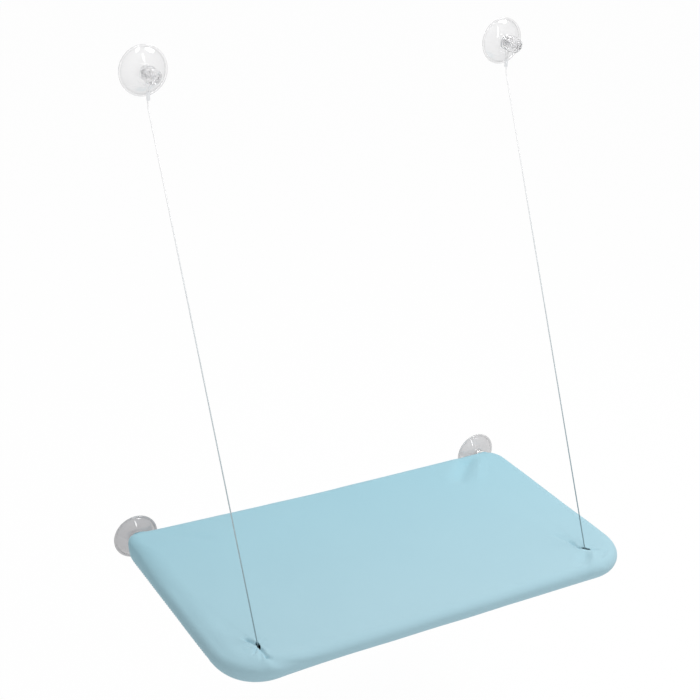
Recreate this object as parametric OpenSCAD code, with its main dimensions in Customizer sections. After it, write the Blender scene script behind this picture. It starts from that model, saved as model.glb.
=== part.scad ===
/* [Deck frame] */
// Outside width of the frame, across the side tubes
frame_w = 580; // [460:5:700]
// Outside depth of the frame, from the rear tube to the front tube
frame_d = 322; // [260:2:420]
// Outside diameter of the frame tubes
tube_d = 20; // [18:0.5:24]
// Wall of the frame tubes
tube_wall = 1.6; // [1.2:0.1:2.2]
// Centreline bend radius of the front corners
front_bend = 50; // [40:1:70]
// Centreline bend radius of the rear corners
rear_bend = 17; // [14:0.5:24]
// Straight collar between a corner's bend and its tube
collar_l = 6; // [3:0.5:12]
// Length of a corner's spigot inside its tube
spigot_l = 26; // [20:1:40]
// Wall of a spigot
spigot_wall = 2.3; // [1.8:0.1:3]

/* [Cloth sleeve] */
// Thickness of the cloth
cloth_t = 1; // [0.6:0.1:1.6]
// Distance from the frame's outer side to the end of the zip
zip_margin = 60; // [50:5:160]
// Distance from the rear tube's centre to the zip
zip_setback = 36; // [30:1:60]

/* [Suction cups] */
// Diameter of a suction cup's rim
cup_d = 60; // [52:1:72]
// Height of a cup, from its rim to the end of its hub
cup_h = 14; // [12:0.5:20]
// Diameter of a cup's hub
hub_d = 18; // [15:0.5:22]
// Height of the upper cups above the deck
upper_z = 612; // [450:2:750]
// Distance of each upper cup from the middle of the perch
upper_x = 249; // [180:1:300]
// Distance from the frame's outer side to the lower cup's axis
lower_inset = 22; // [18:0.5:24]

/* [Studs and knobs] */
// Diameter of the cups' studs
stud_d = 5; // [4:0.5:6]
// Diameter of a thumb knob
knob_d = 20; // [16:0.5:26]
// Length of a thumb knob
knob_l = 17.5; // [14:0.5:24]

/* [Cables] */
// Diameter of the steel cables
wire_d = 1.5; // [1:0.1:2]
// Distance from the front tube's centreline to the cable's pad
pad_inset_y = 26; // [24:0.5:42]
// Distance from the side tube's centreline to the cable's pad
pad_inset_x = 42; // [34:0.5:54]
// Diameter of the cable's pad on a front corner
pad_d = 18; // [16:0.5:22]
// Drop from a stud to the top of the crimped eye sleeve
eye_drop = 21; // [16:0.5:30]
// Length of the crimped eye sleeve
ferrule_l = 10; // [7:0.5:16]

/* [Hidden] */
$fn = 64;

LEFT = -1;
RIGHT = 1;

// Clearances and the overrun of every cut
slide_fit = 0.05;
crimp_fit = 0.03;
seat_gap = 0.2;
cloth_gap = 0.4;
over = 1;

// Cup section: shares of the rim radius and of the height, chosen by eye
lip_w = 3;
lip_t = 1.4;
step_h = 0.9;
cup_bore_lip = 1.8;
hub_root_d = 26;
hub_root_h = 10.6;
hub_edge = 1.2;
hollow_h = 5.6;
dome_share = [0.2, 0.4, 0.6, 0.8];
dome_rise_share = [0.27, 0.52, 0.73, 0.89];
hollow_share = [0, 0.3, 0.55, 0.78];
hollow_rise_share = [1, 0.95, 0.82, 0.54];

// Studs: a round flange moulded into the hub, and a shank
flange_d = 10;
flange_t = 2.4;
flange_start = 7.8;
stud_chamfer = 0.6;
upper_stud_end = 29;
lower_thread_l = 12;

// Knob
knob_round = 2.2;
knob_corner_share = 0.3;
knob_dimple_d = 8;
knob_dimple_t = 1;
knob_flutes = 8;
knob_flute_d = 3.6;
knob_flute_in = 0.9;
knob_roof = 3;
eye_play = 0.3;
loop_play = 0.5;

// Frame
tube_r = tube_d / 2;
bore_r = tube_r - tube_wall;
spigot_r = bore_r - slide_fit;
spigot_bore_r = spigot_r - spigot_wall;
spigot_chamfer = 0.8;
boss_proud = 1.8;
boss_d = 18;
side_x = frame_w / 2 - tube_r;
rear_y = -(cup_h + seat_gap + boss_proud + tube_r);
front_y = rear_y - (frame_d - tube_d);
lower_x = frame_w / 2 - lower_inset;

// Brass inserts
insert_wall = 1.6;
insert_l = 10;
insert_lead = 1.2;

// Screws
screw_d = 2.9;
screw_l = 6;
screw_head_d = 5.6;
screw_head_t = 1.7;
screw_in = 13;
screw_cross = 0.7;
screw_side_share = 0.5;
screw_top_share = 0.4;

// Cable: it leaves its eye plumb, bends to the front and runs straight to the pad
wire_r = wire_d / 2;
wire_swell = 0.02;
loop_r = stud_d / 2 + loop_play + wire_r;
loop_y = -(cup_h + eye_play + wire_r);
knob_y = loop_y - wire_r - eye_play * 2;
strand_x = wire_r + slide_fit;
bend_r = 25;
ferrule_d = 4.4;
pad_t = 4;
pad_bore_d = 7;
arm_t = 6;
arm_w = 9;
washer_d = 11;
washer_t = 1;
stop_d = 4.5;
stop_l = 9;
tail_l = 2;
pad_x = side_x - pad_inset_x;
pad_y = front_y + pad_inset_y;
leave_x = upper_x + strand_x;
leave_z = upper_z - eye_drop - ferrule_l;
reach_x = pad_x - leave_x;
reach_y = pad_y - loop_y;
reach = norm([reach_x, reach_y]);
run_l = sqrt(pow(reach - bend_r, 2) + pow(leave_z, 2) - pow(bend_r, 2));
lean = atan2(reach - bend_r, leave_z) + atan2(bend_r, run_l);
heading = atan2(reach_y, reach_x);

// Cloth sleeve
sleeve_in_r = tube_r + cloth_gap;
sleeve_r = sleeve_in_r + cloth_t;
slit_l = 11;
slit_w = 5.4;
stop_hole_d = 18;
slit_shift_share = 0.75;
stop_hole_shift_share = 0.9;
boss_hole_gap = 0.5;

// Zip
zip_l = frame_w - 2 * zip_margin;
zip_y = rear_y - zip_setback;
zip_slot_w = 5;
stitch_gap = 0.05;
tape_t = 0.6;
tape_w = 11;
tape_end = 8;
tape_split = 2;
chain_w = 4.4;
chain_t = 1.8;
web_w = 2.4;
web_t = 1.1;
stop_w = 6;
stop_h = 2.4;
end_stop_l = 3;
slider_l = 9;
slider_wall = 1.3;
slider_gap = 0.25;
slider_park = 6;
ear_t = 1.2;
ear_w = 3.4;
ear_drop = 3.4;
pull_l = 20;
pull_w = 5;
pull_t = 1.4;
pull_eye_r = 1.9;
pin_r = 0.8;
pull_gap = 0.25;
pull_hole_w = 2.2;
pull_hole_l = 8;
sheet_z = -sleeve_r;
tape_z = sheet_z - stitch_gap;
chain_z = tape_z - tape_t;
slider_x = zip_l / 2 - slider_park;
slider_floor_z = chain_z - web_t - chain_t - slider_gap;
pin_z = slider_floor_z - slider_wall - pull_eye_r;

// Turns a shape drawn along +Z so that it points away from the window
module from_window(x, z) {
    translate([x, 0, z]) rotate([90, 0, 0]) children();
}

// Places a shape drawn along +Z on the cable's straight run, with its origin in the pad's centre
module on_cable(s) {
    mirror([s == LEFT ? 1 : 0, 0, 0]) translate([pad_x, pad_y, 0])
        rotate([0, 0, heading]) rotate([0, -lean, 0]) children();
}

module suction_cup(x, z) {
    rim_r = cup_d / 2;
    foot_r = rim_r - lip_w;
    foot_h = lip_t + step_h;
    root_r = hub_root_d / 2;
    root_h = hub_root_h;
    hollow_r = rim_r - cup_bore_lip;
    last = len(dome_share) - 1;
    from_window(x, z) difference() {
        rotate_extrude() polygon(concat(
            [[0, hollow_h]],
            [for (i = [1 : last]) [hollow_r * hollow_share[i], hollow_h * hollow_rise_share[i]]],
            [[hollow_r, 0], [rim_r, 0], [rim_r, lip_t], [foot_r, lip_t], [foot_r, foot_h]],
            [for (i = [0 : last]) [foot_r + (root_r - foot_r) * dome_share[i],
                foot_h + (root_h - foot_h) * dome_rise_share[i]]],
            [[root_r, root_h], [hub_d / 2 + hub_edge, root_h + hub_edge / 2],
                [hub_d / 2, root_h + hub_edge], [hub_d / 2, cup_h - hub_edge / 2],
                [hub_d / 2 - hub_edge / 2, cup_h], [0, cup_h]]));
        translate([0, 0, flange_start - slide_fit])
            cylinder(d = flange_d + 2 * slide_fit, h = flange_t + 2 * slide_fit);
        translate([0, 0, flange_start]) cylinder(d = stud_d + 2 * slide_fit, h = cup_h);
    }
}

module upper_cup(s) {
    color([0.9, 0.92, 0.93, 0.5]) suction_cup(s * upper_x, upper_z);
}

module lower_cup(s) {
    color([0.86, 0.87, 0.88, 0.5]) suction_cup(s * lower_x, 0);
}

module stud(x, z, end) {
    from_window(x, z) rotate_extrude() polygon([[0, flange_start], [flange_d / 2, flange_start],
        [flange_d / 2, flange_start + flange_t], [stud_d / 2, flange_start + flange_t],
        [stud_d / 2, end - stud_chamfer], [stud_d / 2 - stud_chamfer, end], [0, end]]);
}

module upper_stud(s) {
    color("silver") stud(s * upper_x, upper_z, upper_stud_end);
}

module lower_stud(s) {
    color("silver") stud(s * lower_x, 0, cup_h + seat_gap + lower_thread_l);
}

module knob(s) {
    r = knob_d / 2;
    color([0.93, 0.92, 0.95, 0.7]) from_window(s * upper_x, upper_z) translate([0, 0, -knob_y])
        difference() {
            rotate_extrude() polygon([[0, 0], [r - knob_round / 2, 0], [r, knob_round / 2],
                [r, knob_l - knob_round],
                [r - knob_round * knob_corner_share, knob_l - knob_round * knob_corner_share],
                [r - knob_round, knob_l], [knob_dimple_d / 2, knob_l],
                [knob_dimple_d / 2, knob_l - knob_dimple_t], [0, knob_l - knob_dimple_t]]);
            translate([0, 0, -over]) cylinder(d = stud_d + 2 * slide_fit, h = knob_l - knob_roof + over);
            for (i = [0 : knob_flutes - 1]) rotate([0, 0, i * 360 / knob_flutes])
                translate([r + knob_flute_d / 2 - knob_flute_in, 0, -over])
                    cylinder(d = knob_flute_d, h = knob_l + 2 * over);
        }
}

// Where a strand leaves the loop, as an angle below the level
loop_end = atan2(-eye_drop, strand_x) + acos(loop_r / norm([strand_x, eye_drop]));

// A ball that joins two lengths of wire
module wire_joint() {
    sphere(r = wire_r + wire_swell);
}

// The right strand of the eye, from the loop to the foot of the eye sleeve, in the XY plane
module strand() {
    top = [loop_r * cos(loop_end), loop_r * sin(loop_end)];
    rise = [top[0] - strand_x, top[1] + eye_drop];
    translate([top[0], top[1], 0]) wire_joint();
    translate([strand_x, -eye_drop, 0]) {
        wire_joint();
        rotate([0, 0, atan2(rise[1], rise[0])]) rotate([0, 90, 0]) cylinder(r = wire_r, h = norm(rise));
        rotate([90, 0, 0]) cylinder(r = wire_r, h = ferrule_l);
    }
}

module wire_eye() {
    translate([0, loop_y, 0]) rotate([90, 0, 0]) {
        rotate([0, 0, loop_end]) rotate_extrude(angle = 180 - 2 * loop_end)
            translate([loop_r, 0]) circle(r = wire_r);
        strand();
        mirror([1, 0, 0]) strand();
    }
}

module cable(s) {
    below = pad_t / 2 + seat_gap + washer_t + stop_l + tail_l;
    color([0.62, 0.64, 0.66]) {
        mirror([s == LEFT ? 1 : 0, 0, 0]) {
            translate([upper_x, 0, upper_z]) wire_eye();
            translate([leave_x, loop_y, leave_z]) {
                wire_joint();
                rotate([0, 0, heading]) rotate([90, 0, 0]) translate([bend_r, 0, 0]) rotate([0, 0, 180])
                    rotate_extrude(angle = lean) translate([bend_r, 0]) circle(r = wire_r);
            }
        }
        on_cable(s) {
            translate([0, 0, run_l]) wire_joint();
            translate([0, 0, -below]) cylinder(r = wire_r, h = run_l + below);
        }
    }
}

module eye_ferrule(s) {
    color([0.78, 0.79, 0.8]) difference() {
        translate([s * upper_x, loop_y, upper_z - eye_drop - ferrule_l])
            cylinder(d = ferrule_d, h = ferrule_l);
        for (m = [LEFT, RIGHT])
            translate([s * upper_x + m * strand_x, loop_y, upper_z - eye_drop - ferrule_l - over])
                cylinder(r = wire_r + crimp_fit, h = ferrule_l + 2 * over);
        for (m = [LEFT, RIGHT])
            translate([s * upper_x + m * strand_x, loop_y, upper_z - eye_drop])
                sphere(r = wire_r + crimp_fit);
    }
}

module stop_washer(s) {
    color("silver") on_cable(s) translate([0, 0, -(pad_t / 2 + seat_gap + washer_t)]) difference() {
        cylinder(d = washer_d, h = washer_t);
        translate([0, 0, -over]) cylinder(r = wire_r + slide_fit, h = washer_t + 2 * over);
    }
}

module cable_stop(s) {
    color([0.78, 0.79, 0.8]) on_cable(s)
        translate([0, 0, -(pad_t / 2 + seat_gap + washer_t + stop_l)]) difference() {
            cylinder(d = stop_d, h = stop_l);
            translate([0, 0, -over]) cylinder(r = wire_r + crimp_fit, h = stop_l + 2 * over);
        }
}

// A length of tube along +Z, with screw holes near both ends that open towards +X
module frame_tube(l) {
    difference() {
        cylinder(r = tube_r, h = l);
        translate([0, 0, -over]) cylinder(r = bore_r, h = l + 2 * over);
        for (z = [screw_in, l - screw_in]) translate([0, 0, z]) rotate([0, 90, 0])
            cylinder(d = screw_d + 2 * slide_fit, h = tube_r + over);
    }
}

front_tube_l = 2 * (side_x - front_bend - collar_l);
rear_tube_l = 2 * (side_x - rear_bend - collar_l);
side_tube_l = frame_d - tube_d - front_bend - rear_bend - 2 * collar_l;

module front_tube() {
    color([0.93, 0.93, 0.91]) translate([front_tube_l / 2, front_y, 0]) rotate([0, -90, 0])
        rotate([0, 0, 90]) frame_tube(front_tube_l);
}

module rear_tube() {
    color([0.93, 0.93, 0.91]) translate([rear_tube_l / 2, rear_y, 0]) rotate([0, -90, 0])
        rotate([0, 0, -90]) frame_tube(rear_tube_l);
}

module side_tube(s) {
    color([0.93, 0.93, 0.91]) translate([s * side_x, rear_y - rear_bend - collar_l, 0])
        mirror([s == LEFT ? 1 : 0, 0, 0]) rotate([90, 0, 0]) rotate([0, 0, 180]) frame_tube(side_tube_l);
}

// The straight leg of a corner along +Z: its collar and spigot, with a screw's pilot hole towards +X
module corner_leg() {
    end = collar_l + spigot_l;
    difference() {
        rotate_extrude() polygon([[0, 0], [tube_r, 0], [tube_r, collar_l], [spigot_r, collar_l],
            [spigot_r, end - spigot_chamfer], [spigot_r - spigot_chamfer, end],
            [spigot_bore_r, end], [spigot_bore_r, collar_l], [0, collar_l]]);
        translate([0, 0, collar_l + screw_in]) rotate([0, 90, 0])
            cylinder(d = screw_d + 2 * slide_fit, h = tube_r);
    }
}

// A quarter bend in the XY plane around the origin, from the -Y side to the +X side, with both legs
module corner_body(bend) {
    rotate([0, 0, -90]) rotate_extrude(angle = 90) translate([bend, 0]) circle(r = tube_r);
    translate([0, -bend, 0]) rotate([0, -90, 0]) rotate([0, 0, 90]) corner_leg();
    translate([bend, 0, 0]) rotate([-90, 0, 0]) rotate([0, 0, 180]) corner_leg();
}

module front_corner(s) {
    cx = side_x - front_bend;
    cy = front_y + front_bend;
    mid = front_bend * cos(45);
    arm = [cx + mid - pad_x, cy - mid - pad_y];
    color([0.9, 0.9, 0.88]) mirror([s == LEFT ? 1 : 0, 0, 0]) {
        difference() {
            union() {
                translate([cx, cy, 0]) corner_body(front_bend);
                translate([pad_x, pad_y, 0]) rotate([0, 0, atan2(arm[1], arm[0])])
                    translate([0, -arm_w / 2, -arm_t / 2]) cube([norm(arm), arm_w, arm_t]);
                on_cable(RIGHT) translate([0, 0, -pad_t / 2]) cylinder(d = pad_d, h = pad_t);
            }
            on_cable(RIGHT) {
                translate([0, 0, -pad_d]) cylinder(d = pad_bore_d, h = 2 * pad_d);
                translate([0, 0, pad_t / 2]) cylinder(d = pad_d, h = pad_d);
                translate([0, 0, -pad_t / 2 - pad_d]) cylinder(d = pad_d, h = pad_d);
            }
        }
    }
}

module rear_corner(s) {
    cx = side_x - rear_bend;
    cy = rear_y - rear_bend;
    boss_l = boss_proud + tube_r + rear_bend;
    color([0.9, 0.9, 0.88]) mirror([s == LEFT ? 1 : 0, 0, 0]) difference() {
        union() {
            translate([cx, cy, 0]) mirror([0, 1, 0]) corner_body(rear_bend);
            translate([lower_x, rear_y + tube_r + boss_proud, 0]) rotate([90, 0, 0])
                cylinder(d = boss_d, h = boss_l);
        }
        translate([lower_x, rear_y + tube_r + boss_proud + over, 0]) rotate([90, 0, 0]) {
            cylinder(d = stud_d + 2 * (insert_wall + crimp_fit), h = insert_lead + insert_l + over);
            cylinder(d = stud_d + 2 * slide_fit, h = lower_thread_l + over + insert_lead);
        }
    }
}

module insert(s) {
    color([0.8, 0.66, 0.35]) translate([s * lower_x, rear_y + tube_r + boss_proud - insert_lead, 0])
        rotate([90, 0, 0]) difference() {
            cylinder(d = stud_d + 2 * insert_wall, h = insert_l);
            translate([0, 0, -over]) cylinder(d = stud_d + 2 * slide_fit, h = insert_l + 2 * over);
        }
}

// A pan head screw along -X, with the underside of its head at the origin
module screw() {
    rotate([0, 90, 0]) difference() {
        rotate_extrude() polygon([[0, -screw_l], [screw_d / 2, -screw_l], [screw_d / 2, 0],
            [screw_head_d / 2, 0], [screw_head_d / 2, screw_head_t * screw_side_share],
            [screw_head_d / 2 - screw_head_t * screw_top_share, screw_head_t], [0, screw_head_t]]);
        for (a = [0, 90]) rotate([0, 0, a]) translate([-screw_d / 2, -screw_cross / 2, screw_head_t / 2])
            cube([screw_d, screw_cross, screw_head_t]);
    }
}

module frame_screws() {
    seat = tube_r + slide_fit;
    color("silver") for (s = [LEFT, RIGHT]) {
        translate([s * (front_tube_l / 2 - screw_in), front_y + seat, 0]) rotate([0, 0, 90]) screw();
        translate([s * (rear_tube_l / 2 - screw_in), rear_y - seat, 0]) rotate([0, 0, -90]) screw();
        for (y = [rear_y - rear_bend - collar_l - screw_in, front_y + front_bend + collar_l + screw_in])
            translate([s * (side_x - seat), y, 0]) rotate([0, 0, s == LEFT ? 0 : 180]) screw();
    }
}

// The rounded slab that wraps the frame at a given distance from its centreline
module pillow(r) {
    hull() for (s = [LEFT, RIGHT]) {
        translate([s * (side_x - front_bend), front_y + front_bend, 0])
            rotate_extrude($fn = 64) translate([front_bend, 0]) circle(r = r, $fn = 24);
        translate([s * (side_x - rear_bend), rear_y - rear_bend, 0])
            rotate_extrude($fn = 48) translate([rear_bend, 0]) circle(r = r, $fn = 24);
    }
}

// An upright slot with round ends along the Y axis
module upright_slot(l, w, h) {
    for (m = [-1, 1]) translate([0, m * (l - w) / 2, 0]) cylinder(d = w, h = h);
    translate([-w / 2, -(l - w) / 2, 0]) cube([w, l - w, h]);
}

module cloth_sleeve() {
    shift = sleeve_r * tan(lean);
    color([0.66, 0.82, 0.87]) difference() {
        pillow(sleeve_r);
        pillow(sleeve_in_r);
        for (s = [LEFT, RIGHT]) {
            translate([s * pad_x, pad_y + shift * slit_shift_share, 0])
                upright_slot(slit_l, slit_w, sleeve_r + over);
            translate([s * pad_x, pad_y - shift * stop_hole_shift_share, -sleeve_r - over])
                cylinder(d = stop_hole_d, h = sleeve_r + over);
            translate([s * lower_x, over, 0]) rotate([90, 0, 0])
                cylinder(d = boss_d + 2 * boss_hole_gap, h = -rear_y + over);
        }
        translate([-zip_l / 2, zip_y - zip_slot_w / 2, -sleeve_r - over])
            cube([zip_l, zip_slot_w, sleeve_r + over]);
    }
}

module zip_tape() {
    color([0.55, 0.72, 0.78]) for (m = [-1, 1])
        translate([-zip_l / 2 - tape_end, zip_y + (m > 0 ? tape_split / 2 : -tape_split / 2 - tape_w),
            tape_z - tape_t]) cube([zip_l + 2 * tape_end, tape_w, tape_t]);
}

module zip_chain() {
    color([0.85, 0.87, 0.88]) {
        translate([-zip_l / 2, zip_y - web_w / 2, chain_z - web_t]) cube([zip_l, web_w, web_t]);
        translate([-zip_l / 2, zip_y - chain_w / 2, chain_z - web_t - chain_t])
            cube([zip_l, chain_w, chain_t]);
    }
}

module zip_end_stops() {
    color("silver") for (m = [-1, 1])
        translate([m * (zip_l / 2 + end_stop_l / 2) - end_stop_l / 2, zip_y - stop_w / 2, chain_z - stop_h])
            cube([end_stop_l, stop_w, stop_h]);
}

module zip_slider() {
    in_w = chain_w + 2 * slider_gap;
    out_w = in_w + 2 * slider_wall;
    throat_w = web_w + 2 * slider_gap;
    floor_z = slider_floor_z;
    color("silver") {
        difference() {
            translate([slider_x - slider_l, zip_y - out_w / 2, floor_z - slider_wall])
                cube([slider_l, out_w, chain_z - slider_gap - floor_z + slider_wall]);
            translate([slider_x - slider_l - over, zip_y - in_w / 2, floor_z])
                cube([slider_l + 2 * over, in_w, chain_t + 2 * slider_gap]);
            translate([slider_x - slider_l - over, zip_y - throat_w / 2, floor_z])
                cube([slider_l + 2 * over, throat_w, chain_t + web_t + 2 * over]);
        }
        for (m = [-1, 1])
            translate([slider_x - slider_l / 2 - ear_w / 2,
                zip_y + m * (pull_w / 2 + pull_gap + ear_t / 2) - ear_t / 2, floor_z - slider_wall - ear_drop])
                cube([ear_w, ear_t, ear_drop]);
        translate([slider_x - slider_l / 2, zip_y + pull_w / 2 + pull_gap + ear_t / 2, pin_z])
            rotate([90, 0, 0]) cylinder(r = pin_r, h = pull_w + 2 * pull_gap + ear_t);
    }
}

module zip_pull() {
    color("silver") translate([slider_x - slider_l / 2, zip_y, pin_z]) difference() {
        union() {
            translate([0, pull_w / 2, 0]) rotate([90, 0, 0]) cylinder(r = pull_eye_r - pull_gap, h = pull_w);
            translate([-pull_t / 2, -pull_w / 2, -pull_l]) cube([pull_t, pull_w, pull_l]);
        }
        translate([0, pull_w, 0]) rotate([90, 0, 0]) cylinder(r = pin_r + slide_fit, h = 2 * pull_w);
        translate([-pull_t, -pull_hole_w / 2, -pull_l + pull_hole_w])
            cube([2 * pull_t, pull_hole_w, pull_hole_l]);
    }
}

upper_cup(LEFT);  // left_upper_cup
upper_cup(RIGHT);  // right_upper_cup
lower_cup(LEFT);  // left_lower_cup
lower_cup(RIGHT);  // right_lower_cup
upper_stud(LEFT);  // left_upper_stud
upper_stud(RIGHT);  // right_upper_stud
lower_stud(LEFT);  // left_lower_stud
lower_stud(RIGHT);  // right_lower_stud
knob(LEFT);  // left_knob
knob(RIGHT);  // right_knob
cable(LEFT);  // left_cable
cable(RIGHT);  // right_cable
eye_ferrule(LEFT);  // left_eye_ferrule
eye_ferrule(RIGHT);  // right_eye_ferrule
stop_washer(LEFT);  // left_stop_washer
stop_washer(RIGHT);  // right_stop_washer
cable_stop(LEFT);  // left_cable_stop
cable_stop(RIGHT);  // right_cable_stop
front_tube();
rear_tube();
side_tube(LEFT);  // left_tube
side_tube(RIGHT);  // right_tube
front_corner(LEFT);  // front_left_corner
front_corner(RIGHT);  // front_right_corner
rear_corner(LEFT);  // rear_left_corner
rear_corner(RIGHT);  // rear_right_corner
insert(LEFT);  // left_insert
insert(RIGHT);  // right_insert
frame_screws();
cloth_sleeve();
zip_tape();
zip_chain();
zip_end_stops();
zip_slider();
zip_pull();
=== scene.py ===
# %% [markdown]
# # A window mounted cat perch
# The perch is a cloth deck on a tube frame. Two suction cups hold its rear edge on the window, and two thin
# steel cables run from cups higher up to its front corners. The solids of every part come from the packed
# model. This lesson dresses them. It builds the soft and shiny parts that a plain solid can't show, and
# gives each part a finish.

import math

import bmesh
import bpy
from mathutils import Matrix, Vector, noise


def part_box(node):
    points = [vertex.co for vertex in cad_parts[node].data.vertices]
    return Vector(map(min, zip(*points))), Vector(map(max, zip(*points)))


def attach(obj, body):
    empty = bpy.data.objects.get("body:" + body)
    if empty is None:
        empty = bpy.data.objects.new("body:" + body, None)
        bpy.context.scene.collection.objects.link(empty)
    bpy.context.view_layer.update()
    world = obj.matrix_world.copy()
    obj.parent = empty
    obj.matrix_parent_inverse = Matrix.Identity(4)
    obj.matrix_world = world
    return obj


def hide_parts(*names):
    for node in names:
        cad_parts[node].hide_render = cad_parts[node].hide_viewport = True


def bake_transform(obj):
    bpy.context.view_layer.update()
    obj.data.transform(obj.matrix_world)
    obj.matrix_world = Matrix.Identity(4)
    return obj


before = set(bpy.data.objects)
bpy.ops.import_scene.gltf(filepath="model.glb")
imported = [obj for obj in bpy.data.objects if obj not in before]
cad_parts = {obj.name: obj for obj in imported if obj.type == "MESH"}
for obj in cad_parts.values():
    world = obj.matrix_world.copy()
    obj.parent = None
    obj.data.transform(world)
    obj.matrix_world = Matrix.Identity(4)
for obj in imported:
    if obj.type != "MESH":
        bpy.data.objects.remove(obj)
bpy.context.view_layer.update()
MM = 0.001
UP = Vector((0, 0, 1))
SIDES = {"left": -1, "right": 1}

# %% [markdown]
# Sizes are read from the solids rather than typed again, so the dressed parts stay on the ones that carry
# them. A node's box gives a tube's centreline, the cloth's height over it, or the place of a cup's axis.

# %% Read the sizes of the solids


def middle(node):
    low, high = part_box(node)
    return (low + high) / 2


side_x = middle("right_tube").x
rear_y = middle("rear_tube").y
front_y = middle("front_tube").y
roll_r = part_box("cloth_sleeve")[1].z
FRONT_BEND = 50 * MM
REAR_BEND = 17 * MM
print("side tube at x =", round(side_x, 4), "and tubes at y =", round(rear_y, 4), round(front_y, 4))

# %% [markdown]
# ## The camera
# The photograph looks down on the perch from its left. The camera's place was worked out from the lines of
# the deck, the cups and the cables. The lens is long, so the deck's edges stay nearly parallel. The camera
# leans a little to one side, because the deck does in the picture.

# %% Place the camera


def add_object(name, data):
    """Makes an object of some data and puts it in the scene."""
    thing = bpy.data.objects.new(name, data)
    bpy.context.scene.collection.objects.link(thing)
    return thing


camera = add_object("camera", bpy.data.cameras.new("camera"))
camera.data.sensor_width = 36
camera.data.lens = 73.728
camera.data.clip_end = 20
camera.matrix_world = (
    Matrix.Translation((-0.86382, -1.50589, 1.00653))
    @ Matrix.Rotation(math.radians(-31.083), 4, "Z")
    @ Matrix.Rotation(math.radians(90 - 24.416), 4, "X")
    @ Matrix.Rotation(math.radians(2.913), 4, "Z")
)
bpy.context.scene.camera = camera
print("camera at", [round(v, 3) for v in camera.location])

# %% [markdown]
# ## Making pieces
# Every new piece starts as a bmesh, the mesh that Blender's modelling operators work on. These helpers turn
# one into a mesh or an object, and spin an outline round an axis, as a lathe does.

# %% Helpers for pieces
LATHE_STEPS = 96


def keep_mesh(name, bm):
    """Turns a bmesh into a mesh."""
    mesh = bpy.data.meshes.new(name)
    bm.to_mesh(mesh)
    bm.free()
    return mesh


def finish_piece(name, bm, material, body):
    """Turns a bmesh into an object that rides on a body of the perch."""
    bmesh.ops.recalc_face_normals(bm, faces=bm.faces)
    mesh = keep_mesh(name, bm)
    for face in mesh.polygons:
        face.use_smooth = True
    mesh.materials.append(material)
    piece = add_object(name, mesh)
    if body:
        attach(piece, body)
    return piece


def spin_round(bm, steps):
    """Spins all of a bmesh once round the Z axis and closes the seam."""
    bmesh.ops.spin(
        bm, geom=list(bm.verts) + list(bm.edges), cent=(0, 0, 0), axis=(0, 0, 1),
        angle=math.tau, steps=steps, use_merge=True,
    )
    bmesh.ops.remove_doubles(bm, verts=bm.verts, dist=1e-6)


def lathe(outline):
    """Spins an outline of (radius, height) points round the Z axis into a closed solid."""
    bm = bmesh.new()
    verts = [bm.verts.new((r, 0, h)) for r, h in outline]
    for a, b in zip(verts, verts[1:]):
        bm.edges.new((a, b))
    spin_round(bm, LATHE_STEPS)
    return bm


def quarter_turn(bm, axis):
    bmesh.ops.rotate(bm, verts=bm.verts, cent=(0, 0, 0), matrix=Matrix.Rotation(math.radians(90), 3, axis))


# %% [markdown]
# ## Shared effects
# Real surfaces are never one even colour. Three effects come back from part to part, so each is built once
# as a node group: a faint mottle of the colour, fine wear in the gloss, and the over and under of woven
# threads.

# %% Helpers for nodes


def set_inputs(node, **values):
    """Sets constants on a node's sockets. An underscore stands for a space in a socket's name."""
    for label, value in values.items():
        node.inputs[label.replace("_", " ")].default_value = value


def effect_group(name, inputs, outputs):
    """Starts a shader node group with named inputs and outputs."""
    group = bpy.data.node_groups.new(name, "ShaderNodeTree")
    for label, kind, value in inputs:
        socket = group.interface.new_socket(name=label, in_out="INPUT", socket_type=kind)
        if value is not None:
            socket.default_value = value
    for label, kind in outputs:
        group.interface.new_socket(name=label, in_out="OUTPUT", socket_type=kind)
    start = group.nodes.new("NodeGroupInput")
    end = group.nodes.new("NodeGroupOutput")
    return group, start, end


def math_node(tree, operation, *values):
    """Adds a Math node, fed by sockets or numbers."""
    node = tree.nodes.new("ShaderNodeMath")
    node.operation = operation
    for i, value in enumerate(values):
        if isinstance(value, (int, float)):
            node.inputs[i].default_value = value
        else:
            tree.links.new(value, node.inputs[i])
    return node.outputs[0]


# %% The mottle group
mottle, inp, out = effect_group(
    "mottle",
    [("Vector", "NodeSocketVector", None), ("Light", "NodeSocketColor", (0.8, 0.8, 0.8, 1)),
     ("Dark", "NodeSocketColor", (0.7, 0.7, 0.7, 1)), ("Scale", "NodeSocketFloat", 20.0)],
    [("Color", "NodeSocketColor")],
)
cloud = mottle.nodes.new("ShaderNodeTexNoise")
set_inputs(cloud, Detail=4, Roughness=0.6)
blend_colours = mottle.nodes.new("ShaderNodeMix")
blend_colours.data_type = "RGBA"
mottle.links.new(inp.outputs["Vector"], cloud.inputs["Vector"])
mottle.links.new(inp.outputs["Scale"], cloud.inputs["Scale"])
mottle.links.new(cloud.outputs["Fac"], blend_colours.inputs["Factor"])
mottle.links.new(inp.outputs["Light"], blend_colours.inputs["A"])
mottle.links.new(inp.outputs["Dark"], blend_colours.inputs["B"])
mottle.links.new(blend_colours.outputs["Result"], out.inputs["Color"])
print("group", mottle.name, "has", len(mottle.nodes), "nodes")

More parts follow.
